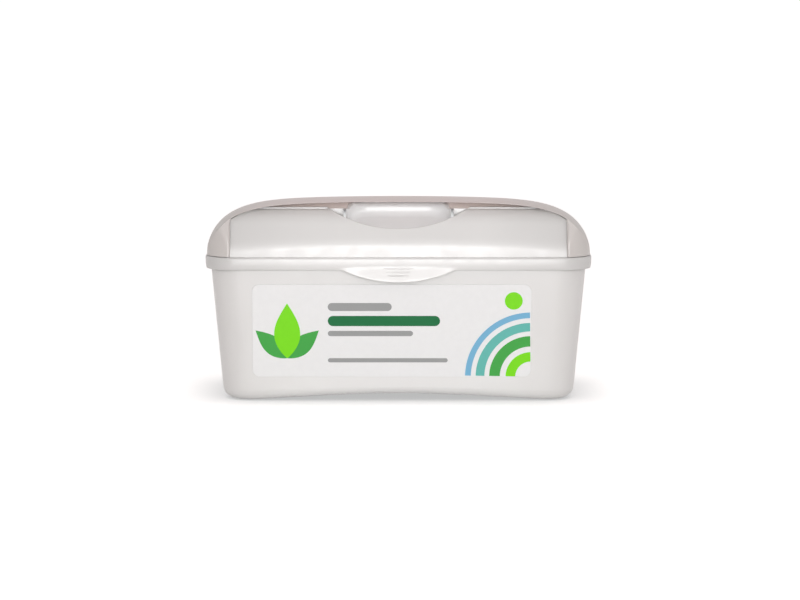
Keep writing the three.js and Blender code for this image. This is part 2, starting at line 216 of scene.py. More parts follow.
# Colours of each plastic: two tones of its flow clouds, then its ends greyed as painted shade and its foot
# paled as painted light
PLASTICS = {
    "tub": ((0.775, 0.775, 0.768), (0.805, 0.805, 0.798), (0.77, 0.765, 0.755), (0.87, 0.87, 0.863)),
    "lid": ((0.76, 0.76, 0.752), (0.79, 0.79, 0.782), (0.65, 0.648, 0.64), (0.79, 0.79, 0.782)),
    # Cover: darker and mauve, painted shade standing in for the shade on its upward-facing roof
    "cover": ((0.71, 0.625, 0.61), (0.74, 0.655, 0.64), (0.63, 0.605, 0.585), (0.74, 0.655, 0.64)),
    # Sill: brighter and warmer than the lid, painted light standing in for light through the cover into its
    # shaded groove
    "sill": ((0.92, 0.83, 0.79), (0.95, 0.86, 0.82), (0.78, 0.71, 0.67), (0.95, 0.86, 0.82)),
    # Pocket: near white, painted light standing in for light through the cover onto its floor and back wall
    "pocket": ((0.95, 0.965, 0.97), (0.96, 0.975, 0.98), (0.79, 0.80, 0.81), (0.96, 0.975, 0.98)),
}

# Colours of the label's film and inks
INKS = (
    ("film_white", (0.92, 0.93, 0.935)),
    ("ink_lime", (0.22, 0.82, 0.005)),
    ("ink_green", (0.06, 0.42, 0.07)),
    ("ink_dark_green", (0.005, 0.17, 0.05)),
    ("ink_teal", (0.14, 0.54, 0.48)),
    ("ink_blue", (0.20, 0.50, 0.74)),
    ("ink_grey", (0.36, 0.37, 0.37)),
)

# Range in which most noise values lie
CLOUDS = (0.3, 0.7)

# Studio, in metres
CAMERA_LENS = 153.0
CAMERA_REACH = 100
CAMERA_DISTANCE = 1.8
CAMERA_RISE = math.radians(7)
CAMERA_AIM = (0.0008, MILLIMETRE * CENTRE_SHIFT, 0.0476)
FLOOR_SIZE = 24
FLOOR_DROP = 0.0002
FLOOR_GLOW = 0.49
SHADE_REACH = 0.025


# Outline of a rounded rectangle, counter-clockwise from the middle of its right side
def ring(half_x, half_y, radius, z, shift_y=0.0):
    x = half_x - radius
    y = half_y - radius
    turns = np.linspace(0, math.pi / 2, CORNER_STEPS + 1)
    half = [(half_x, y * i / SIDE_STEPS) for i in range(SIDE_STEPS)]
    half += [(x + radius * math.cos(t), y + radius * math.sin(t)) for t in turns]
    half += [(x * (1 - 2 * i / FRONT_STEPS), half_y) for i in range(1, FRONT_STEPS)]
    half += [(-x - radius * math.cos(t), y + radius * math.sin(t)) for t in turns[::-1]]
    half += [(-half_x, y * (1 - i / SIDE_STEPS)) for i in range(1, SIDE_STEPS + 1)]
    front = [(u, -v) for u, v in half[-2:0:-1]]
    return np.array([(u, v + shift_y, z) for u, v in half + front])


# Faces through a list of rings, joined from the last ring to the first on a round trip
def loft(rings, round_trip=False):
    count = len(rings[0])
    faces = []
    for k in range(len(rings) if round_trip else len(rings) - 1):
        low = k * count
        high = (k + 1) % len(rings) * count
        for i in range(count):
            j = (i + 1) % count
            faces.append((low + i, low + j, high + j, high + i))
    return np.vstack(rings), faces


# Faces that close a ring, in strips from its back to its front
def cap(count, base, facing_up):
    faces = []
    for i in range(count // 2):
        corners = dict.fromkeys([i, i + 1, (count - i - 1) % count, (count - i) % count])
        face = [base + c for c in corners]
        faces.append(face if facing_up else face[::-1])
    return faces


# Loft closed by one flat face at each end
def capped_loft(rings):
    points, faces = loft(rings)
    count = len(rings[0])
    last = len(points) - count
    faces.append(tuple(range(count))[::-1])
    faces.append(tuple(range(last, last + count)))
    return points, faces


# Grid of points as a surface, rows first
def grid(rows):
    count = len(rows[0])
    faces = []
    for k in range(len(rows) - 1):
        for i in range(count - 1):
            a = k * count + i
            faces.append((a, a + 1, a + count + 1, a + count))
    return np.vstack(rows), faces


# Closed shell between two sheets of rows with the same layout
def shell_between(outer, inner):
    points, faces = grid(outer)
    inner_points, inner_faces = grid(inner)
    base = len(points)
    count = len(outer[0])
    last = base - count
    faces += [tuple(base + i for i in face[::-1]) for face in inner_faces]
    rim = list(range(count)) + list(range(2 * count - 1, base, count))
    rim += list(range(base - 2, last - 1, -1)) + list(range(last - count, 0, -count))
    for a, b in zip(rim, rim[1:] + rim[:1]):
        faces.append((b, a, base + a, base + b))
    return np.vstack([points, inner_points]), faces


# Clean mesh from shells in millimetres, each with the number of its material
def joined_mesh(name, shells):
    points = []
    faces = []
    numbers = []
    base = 0
    for (shell_points, shell_faces), number in shells:
        points.append(np.asarray(shell_points, float))
        faces += [tuple(base + i for i in face) for face in shell_faces]
        numbers += [number] * len(shell_faces)
        base += len(shell_points)
    place = (np.vstack(points) + (0, CENTRE_SHIFT, 0)) * MILLIMETRE
    mesh = bpy.data.meshes.new(name)
    mesh.from_pydata([tuple(p) for p in place], [], faces)
    mesh.polygons.foreach_set("material_index", numbers)
    work = bmesh.new()
    work.from_mesh(mesh)
    bmesh.ops.remove_doubles(work, verts=work.verts, dist=MERGE)
    bmesh.ops.dissolve_degenerate(work, edges=work.edges, dist=MERGE)
    bmesh.ops.recalc_face_normals(work, faces=work.faces)
    work.to_mesh(mesh)
    work.free()
    return mesh


# One named piece that rides on a body and stands for the node of its name
def piece(name, shells, materials, body):
    mesh = joined_mesh(name, shells)
    for material in materials:
        mesh.materials.append(material)
    mesh.polygons.foreach_set("use_smooth", [True] * len(mesh.polygons))
    mesh.set_sharp_from_angle(angle=SHARP_ANGLE)
    made = bpy.data.objects.new(name + "_finish", mesh)
    bpy.context.scene.collection.objects.link(made)
    weights = made.modifiers.new("Face weights", "WEIGHTED_NORMAL")
    weights.keep_sharp = True
    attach(made, body)
    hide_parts(name)
    return made


# Plate with an outline in Y and Z and softened edges, from x0 to x1
def plate(outline, x0, x1):
    flat = np.array(outline, float)
    middle = flat.mean(axis=0)
    reach = np.linalg.norm(flat - middle, axis=1).max()
    small = middle + (flat - middle) * (1 - SOFT_EDGE / reach)
    spots = ((x0, small), (x0 + SOFT_EDGE, flat), (x1 - SOFT_EDGE, flat), (x1, small))
    rings = [np.column_stack([np.full(len(flat), x), line]) for x, line in spots]
    return capped_loft(rings)


# Round bar along X with softened ends, hollow where a bore is given
def barrel(x0, x1, z, radius, bore=0.0):
    turns = np.linspace(0, 2 * math.pi, ROUND_STEPS + 1)[:-1]

    def circle(x, size):
        return np.array([(x, HINGE_Y + size * math.cos(t), z + size * math.sin(t)) for t in turns])

    outer = [circle(x0, radius - SOFT_EDGE), circle(x0 + SOFT_EDGE, radius)]
    outer += [circle(x1 - SOFT_EDGE, radius), circle(x1, radius - SOFT_EDGE)]
    if bore == 0:
        return capped_loft(outer)
    return loft(outer + [circle(x1, bore), circle(x0, bore)], round_trip=True)


# Two rounded ears with a pin between them
def bracket(foot, x, z):
    shells = []
    reach = BARREL_LENGTH / 2 + GAP
    turns = np.linspace(-math.pi / 2, math.pi / 2, 15)
    nose = [(HINGE_Y + EAR_RADIUS * math.cos(t), z + EAR_RADIUS * math.sin(t)) for t in turns]
    for near in (x - reach - EAR_THICKNESS, x + reach):
        shells.append(plate(foot + nose, near, near + EAR_THICKNESS))
    shells.append(barrel(x - reach - PIN_SEAT, x + reach + PIN_SEAT, z, PIN_RADIUS))
    return shells


# Knuckle with its bore, and a web whose end lies inside it
def knuckle(web, x, z):
    low = x - BARREL_LENGTH / 2
    high = x + BARREL_LENGTH / 2
    return [barrel(low, high, z, BARREL_RADIUS, PIN_RADIUS + GAP), plate(web, low, high)]


# End of a knuckle's web, inside the upper half of the barrel
def web_end(z, low, high):
    return [(HINGE_Y - 2.7, z + low), (HINGE_Y + 1.6, z + high), (HINGE_Y + 0.4, z + 2.9)]


# Half of the tub's outer width or depth at a height
def tub_half(z, length):
    return length / 2 - TUB_INSET - DRAFT * (LID_LINE - min(z, LID_LINE))


# Rise of the tub's base at a distance from the middle, flat over the two feet
def base_arch(x):
    share = np.minimum(np.abs(x) / (tub_half(0, LID_WIDTH) - FOOT_LENGTH), 1)
    return ARCH_RISE * (1 - share * share) ** 1.5


# One level of the tub, drawn in and bent to the arched base
def tub_ring(z, inset, shrink, floor):
    radius = max(CORNER_RADIUS - inset - shrink, LEAST_RADIUS)
    half_x = tub_half(z, LID_WIDTH) - inset - shrink
    half_y = tub_half(z, LID_DEPTH) - inset - shrink
    line = ring(half_x, half_y, radius, z)
    line[:, 2] += max(0, 1 - (z - floor) / ARCH_FADE) * base_arch(line[:, 0])
    return line


# Levels of the tub's rounded foot, of its outside or of its hollow
def foot_rings(inset):
    radius = FOOT_RADIUS - inset
    turns = np.linspace(0, math.pi / 2, 11)
    lift = [radius * (1 - math.cos(t)) for t in turns]
    shrink = [radius * (1 - math.sin(t)) for t in turns]
    return [tub_ring(inset + a, inset, b, inset) for a, b in zip(lift, shrink)]


# Tub's wall, beaded rim and floor, up the outside and down the inside
def tub_shell():
    outside = (8, 10, 12, 14, 24, 36, 48, 58, 66, LID_LINE, TUB_TOP - 2.6)
    # Rise and inset along the rim's section
    bead = [(-2.2, -0.35), (-1.8, -RIM_BEAD), (-0.6, -RIM_BEAD), (-0.15, -0.4)]
    edge = [(0, 0), (0, 0.9), (-0.15, 1.25)]
    inside = (TUB_TOP - 0.5, LID_LINE, 58, 48, 36, 24, 15.4, 13.4, 11.4, 9.4)
    rings = foot_rings(0)
    rings += [tub_ring(z, 0, 0, 0) for z in outside]
    rings += [tub_ring(TUB_TOP + rise, 0, shrink, 0) for rise, shrink in bead + edge]
    rings += [tub_ring(z, WALL, 0, WALL) for z in inside]
    rings += foot_rings(WALL)[::-1]
    points, faces = loft(rings)
    count = len(rings[0])
    faces += cap(count, 0, False) + cap(count, len(points) - count, True)
    return points, faces


# Tub with two hinge brackets on its back
def make_tub(materials):
    shells = [tub_shell()]
    high = LID_LINE - BRACKET_DROP
    foot = [(tub_half(z, LID_DEPTH) - WALL / 2, z) for z in (high, high - BRACKET_HEIGHT)]
    for side in (-1, 1):
        shells += bracket(foot, side * LID_HINGE_X, LID_HINGE_Z)
    return piece("tub", [(shell, 0) for shell in shells], materials, "tub")


# Depth of a circular bow below its chord
def bow(x, half, drop):
    radius = (half * half + drop * drop) / (2 * drop)
    x = np.minimum(np.abs(x), half)
    return np.sqrt(radius * radius - x * x) - (radius - drop)


# One level of the lid's skirt, its front let down by a share of the thumb tab
def skirt_ring(inset, z, share=0.0):
    line = ring(LID_WIDTH / 2 - inset, LID_DEPTH / 2 - inset, SKIRT_RADIUS - inset, z)
    front = line[:, 1] < -LID_DEPTH / 2 + inset + 0.01
    drop = np.where(front, share * bow(line[:, 0], TAB_HALF, TAB_DROP), 0)
    line[:, 2] -= drop
    line[:, 1] -= TAB_FLARE * drop
    return line


# One level of the collar round the dispensing opening
def collar_ring(grow, z):
    radius = SLOT_DEPTH / 2 + grow
    return ring(SLOT_LENGTH / 2 + grow, radius, radius, z, SLOT_Y)


# Skirt, deck and collar in one round trip from the skirt's lower edge
def deck_shell():
    top = STEP_LINE + COLLAR_HEIGHT
    under = STEP_LINE - WALL
    # Inset, rise and share of the thumb tab's drop along the skirt's outside
    skirt = [(0.9, 0, 1), (0.62, 0.04, 1), (0.42, 0.2, 1), (TAB_INSET, 0.5, 1), (0.33, 0.7, 0.8)]
    skirt += [(0.3, 0.9, 0.6), (0.27, 1.1, 0.4), (0.24, 1.3, 0.2), (0.2, 1.6, 0), (0.09, 2.6, 0)]
    skirt += [(0.02, 3.8, 0), (0, 5.2, 0), (0.02, 5.7, 0), (0.12, 6.1, 0), (0.32, 6.38, 0)]
    skirt += [(inset, SKIRT_HEIGHT, 0) for inset in (0.6, 1.0, 4.0, 12.0)]
    # Growth and height along the collar's section
    collar = [(COLLAR + 1.2, STEP_LINE), (COLLAR + 0.5, STEP_LINE + 0.15), (COLLAR + 0.1, STEP_LINE + 0.6)]
    collar += [(COLLAR, STEP_LINE + 1.1), (COLLAR, top - 0.7), (COLLAR - 0.2, top - 0.2), (COLLAR - 0.7, top)]
    collar += [(0.7, top), (0.2, top - 0.2), (0, top - 0.7)]
    collar += [(0, under + 0.5), (0.15, under + 0.15), (0.5, under)]
    # Inset, rise and share of the drop along the deck's underside and the skirt's inside
    inner = [(12.0, 5.1, 0), (WALL + 2, 5.1, 0), (WALL + 0.5, 4.95, 0), (WALL, 4.4, 0), (WALL, 1.7, 0)]
    inner += [(WALL, 1.2, 0.35), (WALL, 0.8, 0.7), (WALL, 0.4, 1), (WALL - 0.15, 0.1, 1), (1.1, 0, 1)]
    rings = [skirt_ring(inset, LID_LINE + rise, share) for inset, rise, share in skirt]
    rings += [collar_ring(grow, z) for grow, z in collar]
    rings += [skirt_ring(inset, LID_LINE + rise, share) for inset, rise, share in inner]
    return loft(rings, round_trip=True)


# Height of the cover's arch over its foot at a distance from the middle
def arch_at(x, half, rise):
    share = np.minimum(np.abs(x) / half, 1)
    return np.sqrt(1 - share ** ARCH_FULLNESS) * (rise - CROWN_DROP * share * share)


# How far a front has leant back at a height, upright at the foot and then straight
def lean_at(z, bend_line):
    t = np.clip((z - bend_line) / (BROW_LINE - bend_line), 0, LEAN_LIMIT)
    leant = np.where(t < LEAN_BEND, t * t / (2 * LEAN_BEND), t - LEAN_BEND / 2)
    return leant / (1 - LEAN_BEND / 2)


# Front face of the cover's rim and posts at a height
def cover_front_y(z):
    return LID_FACE + COVER_LEAN * lean_at(z, COVER_BEND)


# Front panel's face: upright along an arched foot, leaning back, then rolling back over its brow
def panel_y(x, z):
    bend_line = STEP_LINE + PANEL_UPRIGHT * (1 - np.abs(x / PANEL_ARCH_HALF) ** 3)
    roll = np.clip((z - BROW_LINE) / BROW_RISE, 0, 1)
    lean = PANEL_LEAN * lean_at(z, bend_line)
    return PANEL_FACE + lean + BROW_DEPTH * (1 - np.sqrt(1 - roll * roll))


# Depth of the bead along the panel's lip
def lip_y(x):
    return float(panel_y(x, BROW_TOP))


# Lower edge of the window in the cover's front, drawn in by a clearance
def window_top(x, clearance):
    rise = HEIGHT - COVER_FOOT - RIM_BAND - clearance
    return COVER_FOOT + arch_at(x, COVER_HALF - RIM_BAND - clearance, rise)


# Upper edge of the front panel, with the scoop in its middle
def panel_top(x):
    top = min(LIP_LINE, float(window_top(x, ARCH_ROOM)))
    if abs(x) < SCOOP_HALF:
        top = min(top, LIP_LINE - float(bow(x, SCOOP_HALF, SCOOP_DROP)))
    return top


# Section of the front panel: inside, softened lip, brow and face
def panel_section(x):
    soft = LIP_SOFT
    foot = STEP_LINE - WALL / 2
    high = panel_top(x) - soft
    lean = np.linspace(foot, BROW_LINE, 24)
    brow = BROW_LINE + BROW_RISE * np.sin(np.linspace(0, math.pi / 2, 14)[1:])
    heights = np.minimum(np.concatenate([lean, brow, (LIP_LINE,)]), high)
    face = panel_y(x, heights)
    front = float(face[-1])
    turns = np.linspace(0, math.pi / 2, 5)
    inside = np.minimum(np.linspace(foot, BROW_LINE + 1.2, 20), high)
    line = list(zip(panel_y(x, inside) + WALL, inside))
    line.append((front + WALL, min(high, BROW_TOP - WALL)))
    line += [(front + WALL - soft + soft * math.cos(t), high + soft * math.sin(t)) for t in turns]
    line += [(front + soft - soft * math.sin(t), high + soft * math.cos(t)) for t in turns]
    line += list(zip(face[-2::-1], heights[-2::-1]))
    return np.array([(x, y, z) for y, z in line])


# Standing front panel, its ends lapped by the cover's posts
def panel_shell():
    end = WINDOW_HALF + LAP
    spots = np.linspace(-end, end, PANEL_STEPS + 1)
    spots = np.unique(np.concatenate([spots, (-SCOOP_HALF, SCOOP_HALF)]))
    return capped_loft([panel_section(x) for x in spots])


# How far a place lies into the pocket behind the lip, as a share of the way to its back
def pocket_share(y):
    back = float(panel_y(0, POCKET_FLOOR)) + POCKET_DEPTH
    return np.clip((y - lip_y(0)) / (back - lip_y(0)), 0, 1)


# Outer edge of the pocket's rolled rim at a distance from the middle
def pocket_edge(x):
    radius = POCKET_RADIUS - WALL
    aside = max(0, x - POCKET_HALF + radius)
    turn_y = float(panel_y(0, POCKET_FLOOR)) + POCKET_DEPTH - radius
    y = turn_y + radius
    for _ in range(8):
        reach = radius + RIM_ROLL * float(pocket_share(y)) + WALL / 2
        y = turn_y + math.sqrt(max(0, reach ** 2 - aside ** 2))
    return y


# Height of the sill that slopes up from behind the lip
def sill_at(x, y):
    return BROW_TOP + max(0, y - lip_y(x) - WALL) * SILL_RISE / SILL_RUN


# Sill behind the lip, passing round the back of the finger pocket
def sill_shell():
    tries = np.linspace(-WINDOW_HALF, WINDOW_HALF, SILL_STEPS + 1)
    rings = []
    for x in tries[window_top(tries, ARCH_ROOM) > BROW_TOP + SILL_LEAST]:
        near = max(lip_y(x) + WALL / 2, pocket_edge(abs(x)))
        high = min(BROW_TOP + SILL_RISE, float(window_top(x, ARCH_ROOM)))
        far = max(near + WALL, lip_y(x) + WALL + SILL_RUN * (high - BROW_TOP) / SILL_RISE)
        spots = near + (far - near) * np.linspace(0, 1, 5)
        top = [(y, min(high, sill_at(x, y))) for y in spots]
        line = [(y, z - WALL) for y, z in (top[0], top[-1])] + top[::-1]
        rings.append(np.array([(x, y, z) for y, z in line]))
    return capped_loft(rings)


# Ledge behind one end of the scoop: a shelf under the scoop's edge and an upright back
def ledge_shell(side):
    near = lip_y(0) + WALL / 4
    far = lip_y(0) + WALL
    rings = []
    for x in np.linspace(POCKET_HALF - LEDGE_LAP, SCOOP_HALF + WALL, 25):
        shelf = min(panel_top(x), BROW_TOP) - LEDGE_DROP
        front = min(float(panel_y(x, shelf)) + WALL / 2, near - 0.05)
        line = [(front, shelf - WALL), (front, shelf), (near, shelf + 0.2), (near, BROW_TOP)]
        line += [(far, BROW_TOP), (far, shelf - WALL)]
        rings.append(np.array([(side * x, y, z) for y, z in line]))
    return capped_loft(rings)


# Plan of the finger pocket from its right front round the back, drawn in by an inset
def pocket_line(inset, z):
    half = POCKET_HALF - inset
    back = float(panel_y(0, POCKET_FLOOR)) + POCKET_DEPTH - inset
    radius = POCKET_RADIUS - WALL - inset
    front = float(panel_y(0, z)) + WALL / 2
    side = [(half, y) for y in np.linspace(front, back - radius, 9)]
    turns = np.linspace(0, math.pi / 2, 17)[1:]
    corner = [(half - radius + radius * math.cos(t), back - radius + radius * math.sin(t)) for t in turns]
    across = [(x, back) for x in np.linspace(half - radius, 0, 9)[1:]]
    right = side + corner + across
    return np.array(right + [(-x, y) for x, y in right[-2::-1]])


# One row round the finger pocket, a share of the way from its sloping floor to its rolled rim
def pocket_row(inset, share, lift, roll=0.0):
    level = POCKET_FLOOR + share * (BROW_TOP - POCKET_FLOOR) + max(0, lift)
    plan = pocket_line(inset, level)
    depth = pocket_share(plan[:, 1])
    floor = POCKET_FLOOR + POCKET_RISE * (plan[:, 1] - float(panel_y(0, POCKET_FLOOR))) / POCKET_DEPTH
    rise = (plan[:, 1] - lip_y(0) - WALL) * SILL_RISE / SILL_RUN
    rim = BROW_TOP + np.clip(rise, 0, POCKET_RIM - BROW_TOP) - RIM_ROLL * depth
    outward = pocket_line(inset - 1, level) - plan
    plan = plan + outward * (RIM_ROLL * depth * (1 - math.cos(roll)))[:, None]
    z = floor + share * (rim - floor) + RIM_ROLL * depth * math.sin(roll)
    return np.column_stack([plan, z + lift])


# Finger pocket: sloping floor, fillet, back wall and rolled rim, each with its outside
def pocket_shell():
    fillet = POCKET_FILLET
    turns = np.linspace(0, math.pi / 2, 8)
    inner = [pocket_row(fillet * (1 - math.sin(t)), 0, fillet * (1 - math.cos(t))) for t in turns]
    outer = [pocket_row(fillet - (fillet + WALL) * math.sin(t), 0, fillet - (fillet + WALL) * math.cos(t))
             for t in turns]
    for share in (0.35, 0.5, 0.65, 0.8, 0.9):
        inner.append(pocket_row(0, share, 0))
        outer.append(pocket_row(-WALL, share, 0))
    for t in turns:
        inner.append(pocket_row(0, 1, 0, t))
        outer.append(pocket_row(-WALL, 1, -0.5 * WALL * math.sin(t), t))
    points, faces = grid(inner + outer[::-1])
    count = len(inner[0])
    last = 2 * len(inner) - 1
    for i in range(count // 2):
        keep = tuple(dict.fromkeys((i, i + 1, count - 2 - i, count - 1 - i)))
        faces.append(keep)
        faces.append(tuple(last * count + c for c in keep[::-1]))
    for k in range(len(inner) - 1):
        for end in (0, count - 1):
            rows = (k, k + 1, last - k - 1, last - k)
            faces.append(tuple(row * count + end for row in rows))
    faces.append((count - 1, 0, last * count, last * count + count - 1))
    return points, faces


# Grip ribs across the thumb tab, shorter towards its tip
def rib_shells():
    shells = []
    turns = np.linspace(0, 2 * math.pi, 13)[:-1]
    for row in range(RIB_COUNT):
        half = RIB_HALF - RIB_TAPER * row
        z = RIB_LINE - RIB_PITCH * row
        face = -LID_DEPTH / 2 + TAB_INSET - TAB_FLARE * max(0, LID_LINE - z)
        rings = []
        for x in np.linspace(-half, half, 25):
            swell = max(0.02, math.sqrt(max(0, 1 - (abs(x) / half) ** 6)))
            deep = RIB_DEPTH * swell
            high = RIB_HEIGHT * swell
            rings.append(np.array([(x, face + deep * math.cos(t), z + high * math.sin(t)) for t in turns]))
        shells.append(capped_loft(rings))
    return shells


# Lid with its pocket and sill paled by painted light, knuckles for the tub's pins and brackets for the cover
def make_lid(materials):
    # The second and third slots carry painted light: the sill's and the pocket's plastics are paler than the
    # lid's
    plain, sill_painted_light_slot, pale = range(3)
    shells = [deck_shell(), panel_shell(), *rib_shells()]
    rear = LID_DEPTH / 2 - WALL / 2
    web = [(rear, STEP_LINE - 0.2), (rear, LID_LINE + 0.2)] + web_end(LID_HINGE_Z, 0.9, 1.9)
    foot = [(rear, STEP_LINE - 0.3), (rear, LID_LINE + 0.6)]
    # Pocket and sill take plastics paled as painted light
    painted_light_shells = [(pocket_shell(), pale), (sill_shell(), sill_painted_light_slot)]
    for side in (-1, 1):
        shells.append(ledge_shell(side))
        shells += knuckle(web, side * LID_HINGE_X, LID_HINGE_Z)
        shells += bracket(foot, side * COVER_HINGE_X, COVER_HINGE_Z)
    return piece("lid", [(shell, plain) for shell in shells] + painted_light_shells, materials, "lid")


# Height of the roof's middle line, falling to the back and turning down into the rear wall
def roof_at(y):
    t = max(0, (y - RIDGE_Y) / (LID_REAR - RIDGE_Y))
    turn = min(max(0, 1 - (LID_REAR - y) / SHOULDER_RUN), 1)
    fall = ROOF_FALL * (ROOF_EVENNESS * t + (1 - ROOF_EVENNESS) * t * t)
    return HEIGHT - fall - SHOULDER_DROP * (1 - math.sqrt(1 - turn * turn))


# Half width of the cover's plan at a depth, rounded at the rear corners
def plan_half(y):
    into = min(max(0, CORNER_RADIUS - (LID_REAR - y)), CORNER_RADIUS)
    return COVER_HALF - CORNER_RADIUS + math.sqrt(CORNER_RADIUS ** 2 - into ** 2)


# Front limit of the cover's plan at a distance from the middle, rounded at the front corners
def plan_front(x, inset):
    radius = CORNER_RADIUS - inset
    into = np.clip(np.abs(x) - (COVER_HALF - CORNER_RADIUS), 0, radius)
    return LID_FACE + CORNER_RADIUS - np.sqrt(radius ** 2 - into ** 2)


# One arched line of the cover from foot to foot
def arch_line(half, top):
    share = np.sin(np.linspace(-math.pi / 2, math.pi / 2, ARCH_STEPS + 1))
    x = half * share
    return x, COVER_FOOT + arch_at(x, half, top - COVER_FOOT)


# Edge of the window in the cover's front: down one post, along the arch and down the other
def window_edge():
    x, z = arch_line(COVER_HALF - ROLL_RISE, HEIGHT - ROLL_RISE)
    corner = float(window_top(WINDOW_HALF, 0))
    meet = float(arch_at(WINDOW_HALF, COVER_HALF - ROLL_RISE, HEIGHT - ROLL_RISE - COVER_FOOT))
    post = COVER_FOOT + (z - COVER_FOOT) * (corner - COVER_FOOT) / meet
    edge_x = np.clip(x, -WINDOW_HALF, WINDOW_HALF)
    edge_z = np.where(np.abs(x) <= WINDOW_HALF, window_top(edge_x, 0), np.minimum(post, corner))
    return edge_x, edge_z


# Rows of the cover's skin, drawn in by an inset: window edge, rim and posts, rolled edge, roof, rear wall
def cover_rows(inset):
    edge_x, edge_z = window_edge()
    half = COVER_HALF - inset
    top = HEIGHT - inset
    rows = []

    def add(x, z, behind, rounding=0.0):
        edge = window_top(np.clip(x, -WINDOW_HALF, WINDOW_HALF), 0) - RIM_UNDERCUT * (behind + inset)
        held = np.where(np.abs(x) < WINDOW_HALF, np.maximum(z, edge), z)
        y = np.maximum(cover_front_y(held) + behind + inset, plan_front(x, inset))
        rows.append(np.column_stack([x, y + rounding, held]))

    x, z = arch_line(half - ROLL_RISE, top - ROLL_RISE)
    reach = np.maximum(np.hypot(x - edge_x, z - edge_z), 0.01)
    soft = RIM_EDGE + (POST_EDGE - RIM_EDGE) * np.clip((np.abs(x) - WINDOW_HALF) / POST_BLEND, 0, 1)
    start = np.minimum(soft / reach, 0.7)
    for turn in np.linspace(0, math.pi / 2, 4):
        share = start * (1 - math.cos(turn))
        rounding = soft * (1 - math.sin(turn)) if inset == 0 else 0.0
        add(edge_x + share * (x - edge_x), edge_z + share * (z - edge_z), 0, rounding)
    for step in np.linspace(0, 1, 7)[1:-1]:
        share = start + (1 - start) * step
        add(edge_x + share * (x - edge_x), edge_z + share * (z - edge_z), 0)
    for share in np.linspace(0, 1, 9):
        drop = ROLL_RISE * (1 - share) ** 2
        x, z = arch_line(half - drop, top - drop)
        add(x, z, ROLL_RUN * share)
    roof = RIDGE_Y + RIDGE_RUN
    for share in np.sin(np.linspace(0, math.pi / 2, 34)):
        y = roof + (LID_REAR - roof) * share
        x, z = arch_line(plan_half(y) - inset, roof_at(y) - inset)
        rows.append(np.column_stack([x, np.maximum(y - inset, plan_front(x, inset)), z]))
    for share in (0.5, 1):
        rows.append(np.column_stack([x, np.full(len(x), LID_REAR - inset), z + share * (COVER_FOOT - z)]))
    return rows


# Cover with two knuckles for the lid's pins
def make_cover(materials):
    shells = [shell_between(cover_rows(0), cover_rows(WALL))]
    rear = LID_REAR - WALL / 2
    low = COVER_FOOT + 0.2
    web = [(rear, COVER_FOOT + 7.0), (rear, low), (LID_DEPTH / 2 + GAP, low)]
    web += web_end(COVER_HINGE_Z, 0.4, 2)
    for side in (-1, 1):
        shells += knuckle(web, side * COVER_HINGE_X, COVER_HINGE_Z)
    return piece("cover", [(shell, 0) for shell in shells], materials, "cover")


# Levels of the folded sheets on the arched floor, each sheet a little out of line with the next
def sheet_rings():
    draw = np.random.default_rng(7)
    low = WALL + GAP
    half_x = tub_half(0, LID_WIDTH) - WALL - STACK_END_ROOM
    half_y = tub_half(0, LID_DEPTH) - WALL - STACK_SIDE_ROOM
    pitch = STACK_HEIGHT / SHEET_COUNT
    # Rise in shares of a sheet's pitch, and inset, along a folded edge
    fold = ((0.04, 0.4), (0.25, 0.1), (0.5, 0), (0.75, 0.1), (0.96, 0.4))
    rings = []
    for sheet in range(SHEET_COUNT):
        pull = draw.uniform(0, SHEET_PULL, 2)
        base = low + sheet * pitch
        settle = 1 - TOP_LEVELLING * (base - low) / STACK_HEIGHT
        soft = BOTTOM_SOFTNESS * max(0, 1 - sheet / 2)
        soft += TOP_SOFTNESS * max(0, (sheet - SHEET_COUNT + 3) / 2)
        for rise, inset in fold:
            x = half_x - pull[0] - inset - soft
            y = half_y - pull[1] - inset - soft
            line = ring(x, y, SHEET_RADIUS, base + rise * pitch)
            line[:, 2] += settle * base_arch(line[:, 0])
            rings.append(line)
    return rings


# Uneven top of the stack inside its uppermost level, facing up
def top_sheet(level):
    count = len(level)
    half = count // 2
    rows = []
    for i in range(half + 1):
        back = level[i]
        front = level[(count - i) % count]
        row = []
        for j in range(TOP_STEPS + 1):
            share = j / TOP_STEPS
            spot = back + share * (front - back)
            wave = math.sin(0.09 * spot[0] + 1.1 * math.sin(0.11 * spot[1]))
            wave += math.sin(0.17 * spot[1] - 0.05 * spot[0])
            crown = 4 * share * (1 - share) * min(1, 4 * min(i, half - i) / half)
            row.append(spot + (0, 0, TOP_SWELL * crown * (1.4 + wave)))
        rows.append(np.array(row))
    points, faces = grid(rows)
    return points, [(a, d, c, b) for a, b, c, d in faces]


# Stack of folded sheets with an uneven top
def make_stack(materials):
    rings = sheet_rings()
    points, faces = loft(rings)
    faces += cap(len(rings[0]), 0, False)
    shells = [((points, faces), 0), (top_sheet(rings[-1]), 0)]
    return piece("wipes_stack", shells, materials, "tub")


# Point on the label's face from a place on the flat label, lifted off the film
def on_label(u, v, lift):
    middle = (LABEL_LOW + LABEL_HIGH) / 2
    tilt = math.atan(DRAFT)
    off = GAP + lift
    y = -tub_half(middle, LID_DEPTH) - v * math.sin(tilt) - off * math.cos(tilt)
    z = middle + v * math.cos(tilt) - off * math.sin(tilt)
    return ((LABEL_LEFT - LABEL_RIGHT) / 2 + u, y, z)


# Thin closed patch of ink from its outline on the label, in one of a few layers
def printed(outline, layer=1):
    lifts = (FILM_THICKNESS / 2, FILM_THICKNESS + INK_LAYER * layer)
    return capped_loft([np.array([on_label(u, v, lift) for u, v in outline]) for lift in lifts])


# Rounded bar on the label from its left end
def bar(left, middle, length, height):
    radius = height / 2
    turns = np.linspace(math.pi / 2, -math.pi / 2, 13)
    right = [(left + length - radius + radius * math.cos(t), middle + radius * math.sin(t)) for t in turns]
    round_left = [(left + radius - radius * math.cos(t), middle - radius * math.sin(t)) for t in turns]
    return printed(right + round_left)


